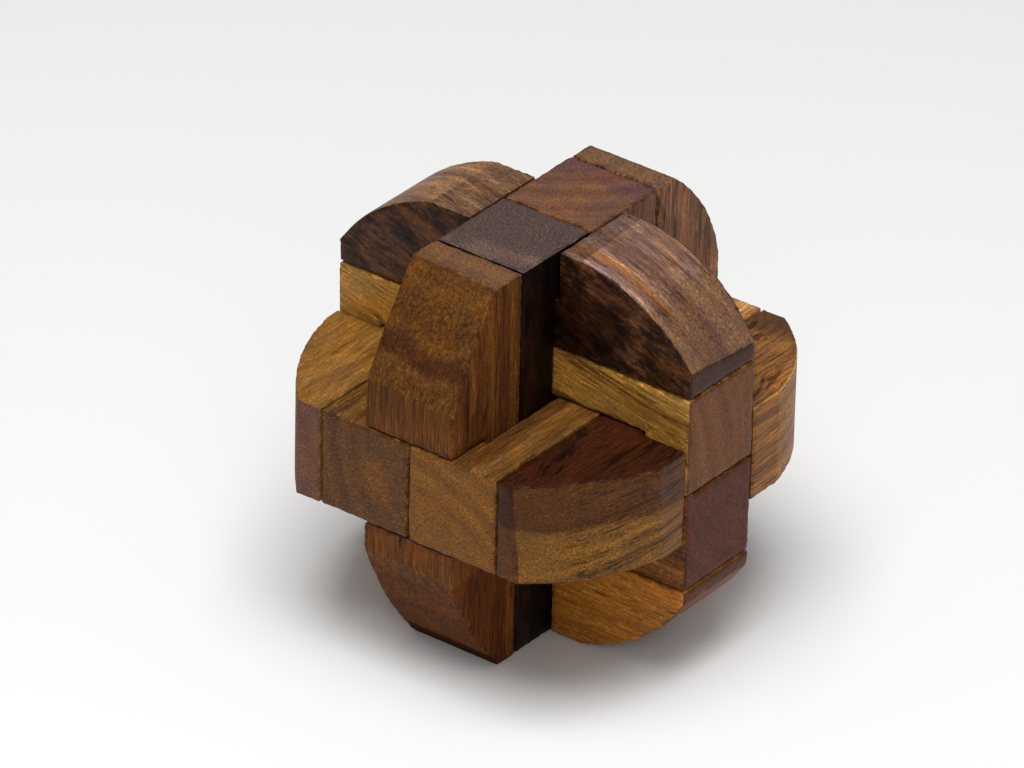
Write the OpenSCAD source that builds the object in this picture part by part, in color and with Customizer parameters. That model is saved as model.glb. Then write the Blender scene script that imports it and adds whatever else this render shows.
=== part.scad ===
// Burr puzzle of twelve square hardwood sticks, four to a row, in three rows that cross at right angles.
// Each row has two outer sticks with rounded ends and two inner sticks with square ends.
// The back inner upright is the key: it draws straight up and out, and then the others come free.
// Sizes are in millimetres. The puzzle stands on the ends of its uprights, with z = 0 under them.

/* [Sticks] */
// Width and thickness of each square stick
stick_w = 19.8; // [16:0.2:24]
// Length of every stick
stick_len = 80; // [76:1:120]
// Gap left between neighbouring faces, so that the sticks slide
play = 0.2; // [0.1:0.05:0.4]

/* [Notches] */
// Wood left under the middle notch of an outer stick
bridge_t = 9.8; // [8:0.2:12]

/* [Rounded ends] */
// Length of the rounded stretch at each end of an outer stick
round_len = 23; // [16:1:28]
// Height of the flat strip that the rounding leaves on the end of an outer stick
end_flat = 5; // [3:0.5:8]
// How far the rounded stretch swells out from a straight slope
swell = 2.6; // [1.5:0.1:4]

/* [Hidden] */

half_w = stick_w / 2;
half_len = stick_len / 2;
// From the puzzle's middle plane to the near face of an inner stick and of an outer stick
inner_near = play / 2;
outer_near = stick_w + play + inner_near;
// Middle notch of an inner stick: deep enough for the crossing sticks, long enough for both bridges
inner_notch_depth = half_w + play - inner_near;
inner_notch_half = outer_near + bridge_t + play;
// Middle notch of an outer stick: wide enough for the square ends that pass through it
outer_notch_half = half_w + play;
// Cuts run this far past the faces that they open
past = 1;

// The rounding is an arc through the edge of the end strip and the edge of the long face
slope_len = norm([round_len, stick_w - end_flat]);
round_r = slope_len * slope_len / (8 * swell) + swell / 2;
slope_middle = [half_len - round_len / 2, (stick_w + end_flat) / 2];
slope_normal = [stick_w - end_flat, round_len] / slope_len;
round_centre = slope_middle - (round_r - swell) * slope_normal;

// Every stick is made lying along X with its near face down on z = 0, and its notches are cut there.
module blank() {
    translate([-half_len, -half_w, 0])
        cube([stick_len, stick_w, stick_w]);
}

// Waste at the +X end of an outer stick: the corner block outside the rounding's arc
module rounding_waste() {
    corner = [half_len - round_len, -half_w - past, end_flat];
    difference() {
        translate(corner)
            cube([round_len + past, stick_w + 2 * past, stick_w - end_flat + past]);
        translate([round_centre[0], 0, round_centre[1]])
            rotate([90, 0, 0])
                cylinder(r = round_r, h = stick_w + 4 * past, center = true, $fn = 96);
    }
}

// Outer stick: rounded ends, and a notch across the middle of its outer face
module outer_stick() {
    difference() {
        blank();
        rounding_waste();
        mirror([1, 0, 0])
            rounding_waste();
        translate([-outer_notch_half, -half_w - past, bridge_t])
            cube([2 * outer_notch_half, stick_w + 2 * past, stick_w]);
    }
}

// Inner stick: square ends, and one long notch in its near face between two end blocks
module inner_stick() {
    difference() {
        blank();
        translate([-inner_notch_half, -half_w - past, -past])
            cube([2 * inner_notch_half, stick_w + 2 * past, inner_notch_depth + past]);
    }
}

// Key: an inner stick whose notch runs out through its lower end, so it has an upper block only
module key_blank() {
    difference() {
        blank();
        translate([-half_len - past, -half_w - past, -past])
            cube([half_len + past + inner_notch_half, stick_w + 2 * past, inner_notch_depth + past]);
    }
}

// Places for a stick, near being the distance of its near face from the puzzle's centre.
// Uprights stand along Z. side is -1 at the front (-Y) and 1 at the back (+Y).
module as_upright(side, near) {
    translate([0, 0, half_len])
        rotate([0, 0, side * 90])
            translate([near, 0, 0])
                rotate([0, 90, 0])
                    mirror([1, 0, 0])
                        children();
}

// Cross sticks lie along X. side is 1 above the centre and -1 below it.
module as_cross(side, near) {
    translate([0, 0, half_len])
        rotate([side > 0 ? 0 : 180, 0, 0])
            translate([0, 0, near])
                children();
}

// Fore-and-aft sticks lie along Y. side is -1 on the left (-X) and 1 on the right (+X).
module as_fore_aft(side, near) {
    translate([0, 0, half_len])
        rotate([0, side * 90, 0])
            translate([0, 0, near])
                rotate([0, 0, 90])
                    children();
}

module key_stick() {
    color("#9a5f3a")
        as_upright(1, inner_near)
            key_blank();
}

module upright_inner() {
    color("#3b2c25")
        as_upright(-1, inner_near)
            inner_stick();
}

module upright_outer_front() {
    color("#a97442")
        as_upright(-1, outer_near)
            outer_stick();
}

module upright_outer_back() {
    color("#8a6a3f")
        as_upright(1, outer_near)
            outer_stick();
}

module cross_outer_top() {
    color("#4a3026")
        as_cross(1, outer_near)
            outer_stick();
}

module cross_inner_upper() {
    color("#c08a48")
        as_cross(1, inner_near)
            inner_stick();
}

module cross_inner_lower() {
    color("#7a4530")
        as_cross(-1, inner_near)
            inner_stick();
}

module cross_outer_bottom() {
    color("#b9743f")
        as_cross(-1, outer_near)
            outer_stick();
}

module fore_aft_outer_left() {
    color("#b87f45")
        as_fore_aft(-1, outer_near)
            outer_stick();
}

module fore_aft_inner_left() {
    color("#7d6046")
        as_fore_aft(-1, inner_near)
            inner_stick();
}

module fore_aft_inner_right() {
    color("#c8964e")
        as_fore_aft(1, inner_near)
            inner_stick();
}

module fore_aft_outer_right() {
    color("#6e3c2a")
        as_fore_aft(1, outer_near)
            outer_stick();
}

key_stick();
upright_inner();
upright_outer_front();
upright_outer_back();
cross_outer_top();
cross_inner_upper();
cross_inner_lower();
cross_outer_bottom();
fore_aft_outer_left();
fore_aft_inner_left();
fore_aft_inner_right();
fore_aft_outer_right();
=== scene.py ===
import math

import bmesh
import bpy
from mathutils import Matrix, Vector


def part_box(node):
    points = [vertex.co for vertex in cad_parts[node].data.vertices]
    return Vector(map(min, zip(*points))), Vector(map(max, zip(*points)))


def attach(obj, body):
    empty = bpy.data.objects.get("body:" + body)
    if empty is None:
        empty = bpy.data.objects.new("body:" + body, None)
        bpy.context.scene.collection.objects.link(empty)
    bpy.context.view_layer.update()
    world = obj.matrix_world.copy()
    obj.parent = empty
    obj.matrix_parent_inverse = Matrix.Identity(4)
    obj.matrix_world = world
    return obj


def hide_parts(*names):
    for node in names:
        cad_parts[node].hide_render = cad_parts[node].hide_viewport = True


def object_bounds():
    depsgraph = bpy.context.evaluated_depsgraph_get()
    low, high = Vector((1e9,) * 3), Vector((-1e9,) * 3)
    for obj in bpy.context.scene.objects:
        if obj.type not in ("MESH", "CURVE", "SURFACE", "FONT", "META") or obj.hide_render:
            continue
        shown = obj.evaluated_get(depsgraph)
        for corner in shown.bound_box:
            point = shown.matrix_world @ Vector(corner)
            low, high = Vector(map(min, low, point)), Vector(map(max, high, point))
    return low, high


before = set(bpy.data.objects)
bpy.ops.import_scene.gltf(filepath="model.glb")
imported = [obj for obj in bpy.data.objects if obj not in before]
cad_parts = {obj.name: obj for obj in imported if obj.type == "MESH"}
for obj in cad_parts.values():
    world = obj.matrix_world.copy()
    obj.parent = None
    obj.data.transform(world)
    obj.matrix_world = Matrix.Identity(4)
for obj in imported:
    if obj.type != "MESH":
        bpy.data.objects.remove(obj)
cad_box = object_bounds()

# ---------------------------------------------------------------------------------------------------
# Inner upright. A square stick of nearly black hardwood with one long notch on its inner side, so that
# a thin bar is left with a block at each end. It is sawn from square stock, its edges are eased with
# fine paper, and it is rubbed with oil. It stands first, and the loose sticks are built round it.
# ---------------------------------------------------------------------------------------------------
MM = 0.001
low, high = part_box("cross_inner_upper")
stick_long = high.x - low.x
stick_wide = high.y - low.y
half_long = stick_long / 2
middle = (cad_box[0] + cad_box[1]) / 2
inner_near = low.z - middle.z
# Inner sticks have their notch to the middle, so they are seated from their far side
inner_seat = -inner_near - stick_wide

UP, DOWN = Vector((0, 0, 1)), Vector((0, 0, -1))
RIGHT, LEFT = Vector((1, 0, 0)), Vector((-1, 0, 0))
BACK, FRONT = Vector((0, 1, 0)), Vector((0, -1, 0))


def levels(node, axis):
    """The places of a CAD stick's corners along one axis, from low to high."""
    return sorted({round(corner.co[axis], 5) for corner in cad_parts[node].data.vertices})


inner_notch_half = levels("cross_inner_upper", 0)[-2]
inner_bar = levels("cross_inner_upper", 2)[-1] - levels("cross_inner_upper", 2)[-2]


def pick_faces(stick, wanted):
    """Selects the faces of the stick in hand whose middle and normal are the wanted ones."""
    bpy.ops.mesh.select_mode(type="FACE")
    bpy.ops.mesh.select_all(action="DESELECT")
    mesh = bmesh.from_edit_mesh(stick.data)
    for face in mesh.faces:
        if wanted(face.calc_center_median(), face.normal):
            face.select_set(True)
    bmesh.update_edit_mesh(stick.data)


def saw_stick(name, bar, notch_half, blocks=(-1, 1)):
    """A stick lying along X on z = 0: a thin bar, with a block left standing at the ends in blocks."""
    bpy.ops.object.select_all(action="DESELECT")
    bpy.ops.mesh.primitive_cube_add(size=1, location=(0, 0, bar / 2))
    stick = bpy.context.object
    stick.name = name
    stick.data.name = name
    stick.scale = (stick_long, stick_wide, bar)
    bpy.ops.object.transform_apply(location=True, rotation=True, scale=True)
    bpy.ops.object.mode_set(mode="EDIT")
    for end in blocks:
        bpy.ops.mesh.select_all(action="SELECT")
        bpy.ops.mesh.bisect(plane_co=(end * notch_half, 0, 0), plane_no=(1, 0, 0))
    pick_faces(stick, lambda at, out: out.z > 0.9 and any(at.x * end > notch_half for end in blocks))
    bpy.ops.mesh.extrude_region_move(TRANSFORM_OT_translate={"value": (0, 0, stick_wide - bar)})
    bpy.ops.mesh.select_all(action="SELECT")
    bpy.ops.mesh.dissolve_limited(angle_limit=math.radians(1))
    return stick


def ease_edges(stick, width=0.45 * MM):
    """Takes the sharp arris off every edge. Eased and belt-sanded faces get slots of their own."""
    for slot_name in ("wood", "arris", "belt"):
        stick.data.materials.append(bpy.data.materials.new(slot_name))
    pick_faces(stick, lambda at, out: 0.01 < abs(out.x) < 0.95 and out.z > 0.2)
    stick.active_material_index = 2
    bpy.ops.object.material_slot_assign()
    bpy.ops.mesh.select_mode(type="EDGE")
    bpy.ops.mesh.select_all(action="DESELECT")
    bpy.ops.mesh.edges_select_sharp(sharpness=math.radians(25))
    bpy.ops.mesh.bevel(offset=width, segments=2, affect="EDGES", clamp_overlap=True, material=1)


def net(stick, step=0.9 * MM):
    """Cuts the faces into a fine even net, so that wear can show in the shape."""
    for axis in range(3):
        span = stick_long if axis == 0 else stick_wide
        start = 0 if axis == 2 else -span / 2
        normal = [float(axis == n) for n in range(3)]
        for cut in range(1, round(span / step)):
            place = [start + cut * step if axis == n else 0 for n in range(3)]
            bpy.ops.mesh.select_all(action="SELECT")
            bpy.ops.mesh.bisect(plane_co=place, plane_no=normal)


def wear_in(stick):
    """Handling: faces a little hollow from the sanding block, and arrises nicked here and there."""
    belt = stick.data.attributes.new("belt", "FLOAT", "FACE")
    for face in stick.data.polygons:
        belt.data[face.index].value = float(face.material_index == 2)
    worn_faces = {face.index for face in stick.data.polygons if face.material_index == 1}
    group = stick.vertex_groups.new(name="nicked")
    corners = {c for face in worn_faces for c in stick.data.polygons[face].vertices}
    group.add(list(corners), 1.0, "REPLACE")
    arris_mask = stick.data.attributes.new("arris", "FLOAT", "POINT")
    for corner in corners:
        arris_mask.data[corner].value = 1.0
    stick.data.materials.clear()
    for name, size, contrast, depth, where in (
        ("sanding", 16 * MM, 1.0, 0.1 * MM, ""),
        ("nicks", 0.9 * MM, 2.2, 0.18 * MM, "nicked"),
    ):
        pattern = bpy.data.textures.new(name, "CLOUDS")
        pattern.noise_scale = size
        pattern.noise_depth = 1
        pattern.contrast = contrast
        pattern.use_clamp = True
        dent = stick.modifiers.new(name, "DISPLACE")
        dent.texture = pattern
        dent.texture_coords = "LOCAL"
        dent.direction = "NORMAL"
        dent.mid_level = 1.0
        dent.strength = depth
        dent.vertex_group = where
        bpy.ops.object.modifier_apply(modifier=dent.name)


def seat(stick, along, outward, near):
    """Puts the stick in its place in the puzzle, and returns that place and turn for its grain."""
    turn = Matrix((along, outward.cross(along), outward)).transposed().to_euler()
    stick.location = middle + outward * near
    stick.rotation_euler = turn
    place = stick.location.copy()
    bpy.ops.object.transform_apply(location=True, rotation=True, scale=True)
    return place, turn


def finish_stick(stick, seed, along, outward, near):
    """Edges, wear and shading of a shaped stick, and its seat in the puzzle."""
    ease_edges(stick)
    net(stick)
    bpy.ops.object.mode_set(mode="OBJECT")
    # Each stick meets the wear patterns in a place of its own
    shift = (seed * 0.171, seed * 0.093, 0)
    stick.location = shift
    bpy.ops.object.transform_apply(location=True, rotation=True, scale=True)
    wear_in(stick)
    stick.location = [-part for part in shift]
    bpy.ops.object.transform_apply(location=True, rotation=True, scale=True)
    lie = seat(stick, along, outward, near)
    bpy.ops.object.shade_smooth_by_angle(angle=math.radians(28))
    return lie


# The wood's nodes -----------------------------------------------------------------------------------

def put(tree, kind, inputs=None, out=0, **settings):
    """Adds one node, sets it up, joins its inputs and returns one of its outputs."""
    made = tree.nodes.new("ShaderNode" + kind)
    for name, value in settings.items():
        setattr(made, name, value)
    for key, value in (inputs or {}).items():
        if isinstance(value, bpy.types.NodeSocket):
            tree.links.new(value, made.inputs[key])
        else:
            made.inputs[key].default_value = value
    return made.outputs[out] if made.outputs else made


def sums(tree, operation, a, b=0.0):
    return put(tree, "Math", {0: a, 1: b}, operation=operation)


def fade(tree, value, none, full):
    """0 where value is at none, 1 where it is at full, and smooth between."""
    limits = {"Value": value, "From Min": none, "From Max": full}
    return put(tree, "MapRange", limits, interpolation_type="SMOOTHSTEP")


def blend(tree, amount, first, second, how="MIX"):
    return put(tree, "Mix", {0: amount, 6: first, 7: second}, out=2, data_type="RGBA", blend_type=how)


def cloud(tree, coords, stretch, size, detail=2.0, rough=0.55, breadth=1.0):
    """Noise in blots size mm thick, stretch times as long along the grain and breadth times as broad."""
    scale = (1 / (size * stretch), 1 / size, 1 / (size * breadth))
    scaled = put(tree, "VectorMath", {0: coords, 1: scale}, operation="MULTIPLY")
    return put(tree, "TexNoise", {"Vector": scaled, "Scale": 1.0, "Detail": detail, "Roughness": rough})


def pores(tree, grain, size, radius, stretch, share):
    """Open vessels: dark dashes on the long faces and dots on the end grain, in a share of the cells."""
    scale = (1 / (size * stretch), 1 / size, 1 / size)
    scaled = put(tree, "VectorMath", {0: grain, 1: scale}, operation="MULTIPLY")
    cell = put(tree, "TexVoronoi", {"Vector": scaled, "Scale": 1.0})
    pick = put(tree, "SeparateColor", {0: cell.node.outputs[1]})
    hole = fade(tree, cell, radius / size, 0.45 * radius / size)
    return sums(tree, "MULTIPLY", hole, fade(tree, pick, 1 - share, 1.02 - share))


def grey(value):
    return (value, value, value, 1)


def hardwood(name, lie, along, outward, tones, seed, pith=(30, 12), ring=2.6, streak=0.5, slope=(0, 0),
             end_tint=(1, 1, 1), side_tint=(1, 1, 1), flat_tint=(1, 1, 1), belt_tint=(1, 1, 1), layers=(),
             ink=0.5, specks=0.5, patchy=0.12, side_patch=1.0, pore_depth=0.75, gloss=0.46):
    """An oiled hardwood with its grain along the stick. tones run from the darkest streak to the palest,
    sizes are in mm and slope in degrees, and a layer is its ranges by axis, blur, wander and tint."""
    wood = bpy.data.materials.new(name)
    wood.use_nodes = True
    tree = wood.node_tree
    tree.nodes.clear()
    coords = put(tree, "TexCoord", out=3)
    facing = put(tree, "TexCoord", out=1)
    laid = put(tree, "Mapping", {0: coords, 1: lie[0], 2: lie[1]}, vector_type="TEXTURE")
    laid = put(tree, "VectorMath", {0: laid, "Scale": 1 / MM}, operation="SCALE")
    turn = (0, math.radians(slope[0]), math.radians(slope[1]))
    further = (seed * 37.0, 0, 0)
    grain = put(tree, "Mapping", {0: laid, 1: further, 2: turn}, vector_type="POINT")

    # Growth layers: shells round a pith that lies beside the stick, a little wavy along it
    apart = put(tree, "SeparateXYZ", {0: grain})
    across = sums(tree, "SUBTRACT", apart.node.outputs[1], pith[0])
    deep = sums(tree, "SUBTRACT", apart.node.outputs[2], pith[1])
    deep_squared = sums(tree, "MULTIPLY", deep, deep)
    squares = sums(tree, "ADD", sums(tree, "MULTIPLY", across, across), deep_squared)
    shell = sums(tree, "SQRT", squares)
    wave = sums(tree, "SUBTRACT", cloud(tree, grain, 2.2, 9.0, detail=0.5), 0.5)
    shell = sums(tree, "ADD", shell, sums(tree, "MULTIPLY", wave, 2.0))
    rings = {"W": sums(tree, "DIVIDE", shell, ring), "Scale": 1.0, "Detail": 3.0}
    layer = put(tree, "TexNoise", rings, noise_dimensions="1D")
    streaks = cloud(tree, grain, 30.0, 0.7, detail=4.0, rough=0.65)
    fibre = cloud(tree, grain, 16.0, 0.3, detail=3.0, rough=0.7)
    broad = sums(tree, "MULTIPLY", layer, 1 - streak)
    tone = sums(tree, "ADD", broad, sums(tree, "MULTIPLY", streaks, streak))

    # End grain shows less of the figure than the long faces
    ahead = put(tree, "VectorMath", {0: facing, 1: along}, out=1, operation="DOT_PRODUCT")
    end = fade(tree, sums(tree, "ABSOLUTE", ahead), 0.55, 0.69)
    calmer = sums(tree, "MULTIPLY", sums(tree, "MULTIPLY", end, 0.7), sums(tree, "SUBTRACT", 0.5, tone))
    tone = sums(tree, "ADD", tone, calmer)
    ramp = put(tree, "ValToRGB", {0: tone})
    stops = ramp.node.color_ramp
    stops.interpolation = "EASE"
    spread = (0.32, 0.45, 0.55, 0.68)
    for place, colour in zip(spread, tones):
        stop = stops.elements.new(place)
        stop.color = (*colour, 1)
    stops.elements.remove(stops.elements[0])
    stops.elements.remove(stops.elements[-1])
    colour = ramp

    # Broad parts made paler or darker between places along the stick's own axes: most are the wood's own
    # colour, and some are painted light and painted shade
    spot = put(tree, "SeparateXYZ", {0: laid})
    for ranges, blur, wander, tint in layers:
        inside = 1.0
        for axis, (first, last) in ranges.items():
            place = sums(tree, "ADD", spot.node.outputs[axis], sums(tree, "MULTIPLY", wave, wander))
            inside = sums(tree, "MULTIPLY", inside, fade(tree, place, first - blur, first + blur))
            inside = sums(tree, "MULTIPLY", inside, fade(tree, place, last + blur, last - blur))
        colour = blend(tree, inside, colour, (*tint, 1), "MULTIPLY")
    cool = (1 - patchy, 1 - 0.8 * patchy, 1 + 0.3 * patchy, 1)
    warm = (1 + patchy, 1 + 0.5 * patchy, 1 - 0.7 * patchy, 1)
    mottle = fade(tree, cloud(tree, grain, 2.2, 4.0, detail=3.0), 0.36, 0.64)
    colour = blend(tree, 1.0, colour, blend(tree, mottle, cool, warm), "MULTIPLY")
    strands = blend(tree, fade(tree, fibre, 0.28, 0.72), grey(0.55), grey(1.45))
    colour = blend(tree, 1.0, colour, strands, "MULTIPLY")

    # The sawn sides and ends have kept their old skin; the belt leaves fresh wood on the rounded parts
    outer = put(tree, "VectorMath", {0: facing, 1: outward}, out=1, operation="DOT_PRODUCT")
    belt = put(tree, "Attribute", out=2, attribute_name="belt")
    smears = cloud(tree, grain, 2.0, 2.6, detail=5.0, rough=0.7)
    patch = fade(tree, smears, 0.4, 0.62)
    dull_side = (*[share / side_patch for share in side_tint], 1)
    bright_side = (*[share * side_patch for share in side_tint], 1)
    sides = blend(tree, patch, dull_side, bright_side)
    skin = blend(tree, fade(tree, outer, 0.5, 0.8), sides, (*flat_tint, 1))
    skin = blend(tree, end, skin, (*end_tint, 1))
    skin = blend(tree, belt, skin, (*belt_tint, 1))
    colour = blend(tree, 1.0, colour, skin, "MULTIPLY")

    # Thin dark streaks in groups, each a sheet in the growth layers, and open pores full of darker oil
    outwards = Vector((0, -pith[0], stick_wide / MM / 2 - pith[1])).normalized()
    around = (0, -outwards.z, outwards.y)
    sideways = put(tree, "VectorMath", {0: grain, 1: around}, out=1, operation="DOT_PRODUCT")
    sheet = put(tree, "CombineXYZ", {0: apart, 1: shell, 2: sideways})
    groups = fade(tree, cloud(tree, sheet, 4.0, 4.0, breadth=3.0), 0.62 - 0.3 * ink, 0.74 - 0.3 * ink)
    lines = fade(tree, cloud(tree, sheet, 32.0, 0.42, breadth=6.0), 0.46, 0.36)
    lines = sums(tree, "MULTIPLY", lines, groups)
    lines = sums(tree, "MULTIPLY", lines, sums(tree, "SUBTRACT", 1.0, sums(tree, "MULTIPLY", end, 0.8)))
    streak_tint = (0.26, 0.22, 0.2, 1)
    colour = blend(tree, sums(tree, "MULTIPLY", lines, ink), colour, streak_tint, "MULTIPLY")
    large = pores(tree, grain, size=1.5, radius=0.24, stretch=9.0, share=0.55)
    small = pores(tree, grain, size=0.75, radius=0.16, stretch=8.0, share=0.5)
    holes = sums(tree, "MAXIMUM", large, sums(tree, "MULTIPLY", small, 0.7))
    colour = blend(tree, sums(tree, "MULTIPLY", holes, pore_depth), colour, grey(0.22), "MULTIPLY")
    # Small pale specks, up to twice as light, are multiplied into the colour in the amount given by
    # specks
    pale_specks = fade(tree, cloud(tree, laid, 1.0, 0.42, detail=1.0), 0.56, 0.68)
    colour = blend(tree, sums(tree, "MULTIPLY", pale_specks, specks), colour, grey(2.0), "MULTIPLY")

    # The arrises are painted darker all along, partly for oil and grime and partly as painted shade of
    # the gaps between sticks, and paler in patches, partly for handling wear and partly as painted
    # highlights on the edges
    arris_mask = put(tree, "Attribute", out=2, attribute_name="arris")
    edge_wear_and_highlight = fade(tree, cloud(tree, laid, 1.0, 2.5), 0.4, 0.65)
    edge_wear_and_highlight = sums(tree, "MULTIPLY", fade(tree, arris_mask, 0.3, 1.0), edge_wear_and_highlight)
    colour = blend(tree, arris_mask, colour, grey(0.66), "MULTIPLY")
    colour = blend(tree, edge_wear_and_highlight, colour, grey(1.8), "MULTIPLY")

    rough = sums(tree, "ADD", gloss - 0.08, sums(tree, "MULTIPLY", cloud(tree, laid, 1.0, 7.0), 0.16))
    rough = sums(tree, "ADD", rough, sums(tree, "MULTIPLY", holes, 0.25))
    height = sums(tree, "SUBTRACT", sums(tree, "MULTIPLY", fibre, 0.5), holes)
    bump = put(tree, "Bump", {"Strength": 0.6, "Distance": 0.00012, "Height": height})
    finish = {"Base Color": colour, "Roughness": rough, "Normal": bump, "Specular IOR Level": 0.13}
    surface = put(tree, "BsdfPrincipled", finish)
    put(tree, "OutputMaterial", {0: surface})
    return wood


def dress(stick, node, wood, body="block"):
    """Gives the stick its wood, and lets it stand for its CAD node."""
    stick.data.materials.append(wood)
    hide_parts(node)
    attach(stick, body)


near_black = [(0.0457, 0.0317, 0.0316), (0.0628, 0.0392, 0.034),
              (0.0799, 0.0493, 0.0413), (0.1, 0.062, 0.0532)]
stick = saw_stick("inner_upright_stick", inner_bar, inner_notch_half)
lie = finish_stick(stick, 12, UP, BACK, inner_seat)
wood = hardwood("near_black_hardwood", lie, UP, BACK, near_black, seed=12, pith=(20, 20),
                streak=0.8, specks=0.8, patchy=0.04, side_patch=1.8,
                side_tint=(0.036, 0.019, 0.01), flat_tint=(0.036, 0.019, 0.01),
                layers=[({0: (-42, 38.8), 2: (-1, 5)}, 1.5, 4.0, (4.0, 3.6, 3.0))])
dress(stick, "upright_inner", wood)

# ---------------------------------------------------------------------------------------------------
# Outer uprights, of banded and of olive-brown hardwood, each notched across the middle of its outer
# face. Their ends are rounded by hand on a sanding belt, so that no two are quite alike, and a flat
# strip of the old end is left.
# ---------------------------------------------------------------------------------------------------
outer_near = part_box("cross_outer_top")[0].z - middle.z
outer_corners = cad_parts["cross_outer_top"].data.vertices
outer_notch_half = min(abs(corner.co.x) for corner in outer_corners)
notch_corners = [at.co for at in outer_corners if abs(at.co.x) < outer_notch_half + 0.01 * MM]
outer_bridge = min(at.z for at in notch_corners) - middle.z - outer_near


def belt_arc(start, strip, swell):
    """Centre, radius and first and last angle of the arc from the long face to the end strip."""
    first, last = Vector((start, stick_wide)), Vector((half_long, strip))
    slope = last - first
    radius = slope.length_squared / (8 * swell) + swell / 2
    outward = Vector((-slope.y, slope.x)).normalized()
    centre = (first + last) / 2 - outward * (radius - swell)
    spokes = first - centre, last - centre
    return centre, radius, [math.atan2(spoke.y, spoke.x) for spoke in spokes]


def sand_round(end, left_edge, right_edge, passes=14):
    """Rounds one end of the stick in hand with passes of the belt, each a flat cut along the arcs
    given for the left and right edges: where they start, the strip left below, and their swell."""
    arcs = [belt_arc(*(value * MM for value in edge)) for edge in (left_edge, right_edge)]
    for step in range(passes):
        share = (step + 0.5) / passes
        touch = []
        spin = []
        for side, (centre, radius, angles) in zip((-1, 1), arcs):
            angle = angles[0] + (angles[1] - angles[0]) * share
            spoke = Vector((math.cos(angle), math.sin(angle)))
            at = centre + radius * spoke
            touch.append(Vector((end * at.x, side * stick_wide / 2, at.y)))
            spin.append(Vector((end * spoke.x, 0, spoke.y)))
        across = touch[1] - touch[0]
        facing = (spin[0] + spin[1]) / 2
        facing -= facing.project(across)
        bpy.ops.mesh.select_all(action="SELECT")
        bpy.ops.mesh.bisect(plane_co=touch[0], plane_no=facing, use_fill=True, clear_outer=True)


banded = [(0.0484, 0.0128, 0.00235), (0.0886, 0.0257, 0.00415),
          (0.126, 0.0385, 0.00533), (0.178, 0.059, 0.00775)]
stick = saw_stick("front_upright_stick", outer_bridge, outer_notch_half)
sand_round(1, (18, 7.6, 1.3), (20.5, 6.6, 0.5))
sand_round(-1, (15.4, 4.8, 1.4), (15.4, 4.8, 1.4))
lie = finish_stick(stick, 2, UP, FRONT, outer_near)
wood = hardwood("banded_brown_hardwood", lie, UP, FRONT, banded, seed=2, pith=(0, -40),
                ring=3.2, streak=0.7, gloss=0.7, end_tint=(1.3, 2.0, 5.6), side_tint=(1.1, 1.2, 1.35),
                flat_tint=(0.92, 1.02, 0.74), belt_tint=(0.92, 1.1, 0.9),
                layers=[({0: (15, 42), 2: (15.4, 17.4)}, 0.6, 4.0, (0.64, 0.53, 0.8)),
                        ({0: (-42, -17), 2: (3, 18.5)}, 0.8, 2.0, (0.76, 0.58, 0.36)),
                        ({0: (-15.5, 15.5), 2: (17, 22)}, 0.8, 2.0, (1.15, 1.1, 1.7)),
                        ({0: (-42, -15.5), 2: (4, 22)}, 0.8, 2.0, (1.1, 1.08, 0.7))])
dress(stick, "upright_outer_front", wood)

olive = [(0.0496, 0.0204, 0.00713), (0.159, 0.0644, 0.0231),
         (0.238, 0.0967, 0.0352), (0.446, 0.19, 0.0685)]
stick = saw_stick("back_upright_stick", outer_bridge, outer_notch_half)
sand_round(1, (18.5, 5, 2.4), (18, 5, 2.5))
sand_round(-1, (17, 5, 2.4), (18, 4.6, 2.2))
lie = finish_stick(stick, 3, UP, BACK, outer_near)
wood = hardwood("olive_brown_hardwood", lie, UP, BACK, olive, seed=3, pith=(-35, 5),
                streak=0.75, ink=0.8, end_tint=(0.75, 0.92, 1.29))
dress(stick, "upright_outer_back", wood)

# ---------------------------------------------------------------------------------------------------
# Inner fore-and-aft sticks, of grey-brown and of golden hardwood, sawn like the inner upright. They
# lie front to back with their long notches facing each other, and the blocks at their ends sit in the
# notches of the outer uprights.
# ---------------------------------------------------------------------------------------------------
grey_brown = [(0.0524, 0.0191, 0.00374), (0.105, 0.0429, 0.00806),
              (0.147, 0.0648, 0.0118), (0.21, 0.0953, 0.0188)]
stick = saw_stick("left_inner_stick", inner_bar, inner_notch_half)
lie = finish_stick(stick, 4, BACK, RIGHT, inner_seat)
wood = hardwood("grey_brown_hardwood", lie, BACK, RIGHT, grey_brown, seed=4, pith=(10, 40),
                ink=0.3, specks=0.9, end_tint=(0.72, 0.66, 1.02),
                layers=[({1: (-5, 4), 2: (8, 15)}, 3.0, 6.0, (1.5, 1.35, 0.9))])
dress(stick, "fore_aft_inner_left", wood)

golden = [(0.07, 0.0237, 0.0056), (0.119, 0.0473, 0.00986),
          (0.168, 0.0744, 0.0156), (0.21, 0.101, 0.0248)]
stick = saw_stick("right_inner_stick", inner_bar, inner_notch_half)
lie = finish_stick(stick, 5, BACK, LEFT, inner_seat)
# Its layer paints the rear of the top face much paler than the rest: painted light, as the front of the
# top lies in shade by the recess.
wood = hardwood("golden_hardwood", lie, BACK, LEFT, golden, seed=5, pith=(30, 25),
                end_tint=(1.17, 1.05, 0.6),
                layers=[({0: (10, 44), 1: (-20, -9.2)}, 0.3, 0.4, (3.5, 3.7, 5.0))])
dress(stick, "fore_aft_inner_right", wood)

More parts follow.
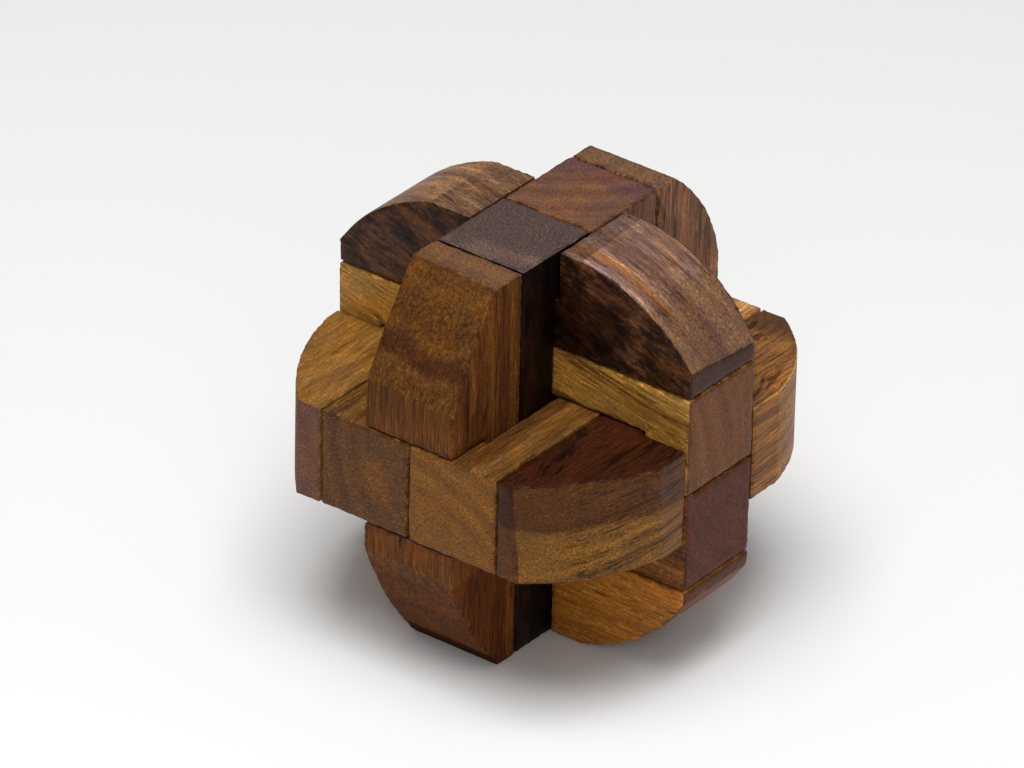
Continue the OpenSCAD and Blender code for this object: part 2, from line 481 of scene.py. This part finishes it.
# ---------------------------------------------------------------------------------------------------
# Outer fore-and-aft sticks, of honey-coloured and of two-tone hardwood. They close the left and right
# sides, and are notched and sanded round like the outer uprights. The blocks of the inner cross sticks
# sit in their notches.
# ---------------------------------------------------------------------------------------------------
honey = [(0.172, 0.0766, 0.0152), (0.196, 0.0873, 0.0169),
         (0.227, 0.105, 0.0201), (0.248, 0.121, 0.0237)]
stick = saw_stick("left_outer_stick", outer_bridge, outer_notch_half)
sand_round(1, (17, 5, 2.6), (17, 4.6, 2.4))
sand_round(-1, (13.2, 5.2, 2.4), (13.2, 5.2, 2.4))
lie = finish_stick(stick, 6, BACK, LEFT, outer_near)
wood = hardwood("honey_hardwood", lie, BACK, LEFT, honey, seed=6, pith=(5, 40),
                ink=0.2, pore_depth=0.5, end_tint=(0.63, 0.57, 1.7), belt_tint=(0.95, 0.85, 1.5))
dress(stick, "fore_aft_outer_left", wood)

two_tone = [(0.081, 0.0312, 0.00526), (0.153, 0.0625, 0.00964),
            (0.207, 0.0868, 0.0131), (0.27, 0.118, 0.0175)]
stick = saw_stick("right_outer_stick", outer_bridge, outer_notch_half)
sand_round(-1, (15.6, 4.8, 3.0), (18.5, 2.8, 1.6))
sand_round(1, (17.8, 4.8, 2.8), (17.8, 4.8, 2.8))
lie = finish_stick(stick, 7, BACK, RIGHT, outer_near)
wood = hardwood("two_tone_hardwood", lie, BACK, RIGHT, two_tone, seed=7, pith=(60, -2),
                ink=0.9, slope=(0, -3), end_tint=(0.43, 0.37, 0.5), side_tint=(0.434, 0.302, 0.52),
                flat_tint=(0.86, 0.84, 1.2), belt_tint=(0.9, 0.92, 0.9),
                layers=[({0: (-42, 8), 1: (1.0, 20)}, 0.7, 3.0, (0.47, 0.37, 0.41)),
                        ({0: (8, 44), 1: (9.3, 20)}, 0.3, 0.4, (2.6, 3.7, 3.7)),
                        ({0: (8, 44), 1: (-20, 9.3)}, 0.3, 0.4, (1.6, 1.55, 1.7)),
                        ({0: (33, 50), 1: (9, 20)}, 1.5, 4.0, (0.45, 0.47, 0.65))])
dress(stick, "fore_aft_outer_right", wood)

# ---------------------------------------------------------------------------------------------------
# Inner cross sticks, an ochre one above the middle and a red-brown one below it, with the long notch
# on the side to the middle. The blocks at their ends lock the outer fore-and-aft sticks.
# ---------------------------------------------------------------------------------------------------
ochre = [(0.141, 0.0552, 0.0129), (0.282, 0.132, 0.0236),
         (0.399, 0.199, 0.0364), (0.493, 0.254, 0.0536)]
stick = saw_stick("upper_inner_stick", inner_bar, inner_notch_half)
lie = finish_stick(stick, 8, RIGHT, DOWN, inner_seat)
wood = hardwood("ochre_hardwood", lie, RIGHT, DOWN, ochre, seed=8, pith=(40, 10),
                slope=(12, 0), ink=0.7, end_tint=(0.41, 0.29, 0.4))
dress(stick, "cross_inner_upper", wood)

red_brown = [(0.0608, 0.0173, 0.003), (0.122, 0.0365, 0.00516),
             (0.182, 0.0578, 0.00778), (0.243, 0.0867, 0.0129)]
stick = saw_stick("lower_inner_stick", inner_bar, inner_notch_half)
lie = finish_stick(stick, 9, RIGHT, UP, inner_seat)
wood = hardwood("red_brown_hardwood", lie, RIGHT, UP, red_brown, seed=9, pith=(20, 30),
                specks=0.9, end_tint=(0.47, 0.34, 0.45))
dress(stick, "cross_inner_lower", wood)

# ---------------------------------------------------------------------------------------------------
# Outer cross sticks, of dark brown hardwood at the top and orange-brown at the bottom, notched and
# sanded round. The inner uprights' blocks sit in their notches, and the top one is the last stick to
# go in before the key.
# ---------------------------------------------------------------------------------------------------
dark_brown = [(0.1, 0.0507, 0.0366), (0.161, 0.0835, 0.0582),
              (0.231, 0.128, 0.0838), (0.343, 0.193, 0.125)]
stick = saw_stick("top_outer_stick", outer_bridge, outer_notch_half)
sand_round(1, (15.6, 5.4, 3.0), (13.4, 3.4, 4.2))
sand_round(-1, (19, 4.4, 2.5), (19, 4.4, 2.5))
lie = finish_stick(stick, 10, RIGHT, UP, outer_near)
# The fifth layer paints the lower part of the stick next to the key much darker: painted shade, where the
# recess by the key lies in shadow.
wood = hardwood("dark_brown_hardwood", lie, RIGHT, UP, dark_brown, seed=10, pith=(-60, -20),
                slope=(-16, 4), ink=0.7, specks=0.5, patchy=0.14, side_patch=2.5, pore_depth=0.95,
                end_tint=(0.29, 0.18, 0.19), side_tint=(0.18, 0.122, 0.064), flat_tint=(0.63, 0.64, 0.69),
                layers=[({0: (15, 30), 1: (-12, -7.8)}, 0.5, 2.0, (1.4, 1.5, 1.8)),
                        ({0: (10, 32), 1: (-7.2, -4.8)}, 0.5, 2.0, (1.3, 1.05, 0.6)),
                        ({0: (14, 40), 1: (-4.0, 1.5)}, 0.8, 3.0, (0.8, 0.74, 0.74)),
                        ({0: (29, 42)}, 2.0, 4.0, (0.86, 0.82, 0.64)),
                        ({0: (5, 25), 2: (-2, 14)}, 3.0, 4.0, (0.3, 0.24, 0.15)),
                        ({0: (-42, -8), 2: (14, 22)}, 1.2, 4.0, (1.2, 1.1, 0.75))])
dress(stick, "cross_outer_top", wood)

orange_brown = [(0.26, 0.0931, 0.0122), (0.311, 0.114, 0.0141),
                (0.367, 0.134, 0.0173), (0.4, 0.157, 0.0222)]
stick = saw_stick("bottom_outer_stick", outer_bridge, outer_notch_half)
sand_round(1, (16.8, 2.6, 2.9), (16.8, 2.6, 2.9))
sand_round(-1, (17.5, 4.4, 2.3), (16.5, 4.8, 2.6))
lie = finish_stick(stick, 11, RIGHT, DOWN, outer_near)
wood = hardwood("orange_brown_hardwood", lie, RIGHT, DOWN, orange_brown, seed=11, pith=(20, -20),
                ink=0.3, end_tint=(0.25, 0.2, 0.4), belt_tint=(0.42, 0.32, 0.34))
dress(stick, "cross_outer_bottom", wood)

# ---------------------------------------------------------------------------------------------------
# Key. The last stick, of reddish hardwood. Its notch runs out through its lower end, so it slides
# straight down into the one square hole that is left, behind the inner upright, and locks the rest.
# ---------------------------------------------------------------------------------------------------
russet = [(0.066, 0.0212, 0.00883), (0.132, 0.0433, 0.0149),
          (0.191, 0.0673, 0.0209), (0.264, 0.0961, 0.0248)]
stick = saw_stick("key_upright_stick", inner_bar, inner_notch_half, blocks=(1,))
lie = finish_stick(stick, 1, UP, FRONT, inner_seat)
wood = hardwood("russet_hardwood", lie, UP, FRONT, russet, seed=1, pith=(25, -18),
                end_tint=(0.8, 1.06, 2.0),
                layers=[({2: (-2, 5)}, 1.5, 4.0, (0.8, 0.78, 1.2)),
                        ({1: (-4, 4)}, 2.5, 5.0, (1.2, 1.1, 0.85))])
dress(stick, "key_stick", wood, body="key")

# ---------------------------------------------------------------------------------------------------
# Studio. A pale table top, large soft lamps, and a long lens that looks down on a corner of the puzzle.
# ---------------------------------------------------------------------------------------------------
scene = bpy.context.scene
scene.view_settings.view_transform = "Standard"

bpy.ops.object.select_all(action="DESELECT")
bpy.ops.mesh.primitive_plane_add(size=6, location=(0, 0, cad_box[0].z))
floor = bpy.context.object
floor.name = "table_top"
pale = bpy.data.materials.new("pale_board")
pale.use_nodes = True
pale.node_tree.nodes["Principled BSDF"].inputs["Base Color"].default_value = (0.92, 0.92, 0.915, 1)
pale.node_tree.nodes["Principled BSDF"].inputs["Roughness"].default_value = 0.7
floor.data.materials.append(pale)

scene.world = bpy.data.worlds.new("studio_air")
scene.world.use_nodes = True
air = scene.world.node_tree.nodes["Background"]
air.inputs["Color"].default_value = (1.0, 1.0, 1.0, 1)
air.inputs["Strength"].default_value = 0.3


def sky(azimuth, elevation):
    """The way out from the puzzle at these angles. Azimuth 0 is in front of it and 90 on its right."""
    flat = math.cos(elevation)
    return Vector((math.sin(azimuth) * flat, -math.cos(azimuth) * flat, math.sin(elevation)))


def soft_lamp(name, azimuth, elevation, distance, size, power):
    """A square lamp turned to the puzzle."""
    away = sky(math.radians(azimuth), math.radians(elevation))
    lamp = bpy.data.lights.new(name, "AREA")
    lamp.size = size
    lamp.energy = power
    holder = bpy.data.objects.new(name, lamp)
    scene.collection.objects.link(holder)
    holder.location = middle + away * distance
    holder.rotation_euler = away.to_track_quat("Z", "Y").to_euler()


soft_lamp("overhead_lamp", azimuth=30, elevation=76, distance=0.9, size=0.6, power=7.5)
soft_lamp("side_lamp", azimuth=40, elevation=32, distance=1.1, size=0.6, power=1.6)

view_azimuth = math.radians(36.955)
view_elevation = math.radians(30.454)
view_roll = math.radians(1.258)
view_distance = 1.7457
aim_left, aim_above = 5.66 * MM, 3.77 * MM
toward = sky(view_azimuth, view_elevation)
level = Vector((math.cos(view_azimuth), math.sin(view_azimuth), 0))
rise = toward.cross(level)
picture_right = level * math.cos(view_roll) + rise * math.sin(view_roll)
picture_up = rise * math.cos(view_roll) - level * math.sin(view_roll)
aim = middle - picture_right * aim_left + picture_up * aim_above
lens = bpy.data.cameras.new("long_lens")
lens.sensor_width = 36
lens.lens = 337.07
lens.clip_end = 20
camera = bpy.data.objects.new("long_lens", lens)
scene.collection.objects.link(camera)
turn = Matrix((picture_right, picture_up, toward)).transposed().to_4x4()
camera.matrix_world = Matrix.Translation(aim + toward * view_distance) @ turn
scene.camera = camera
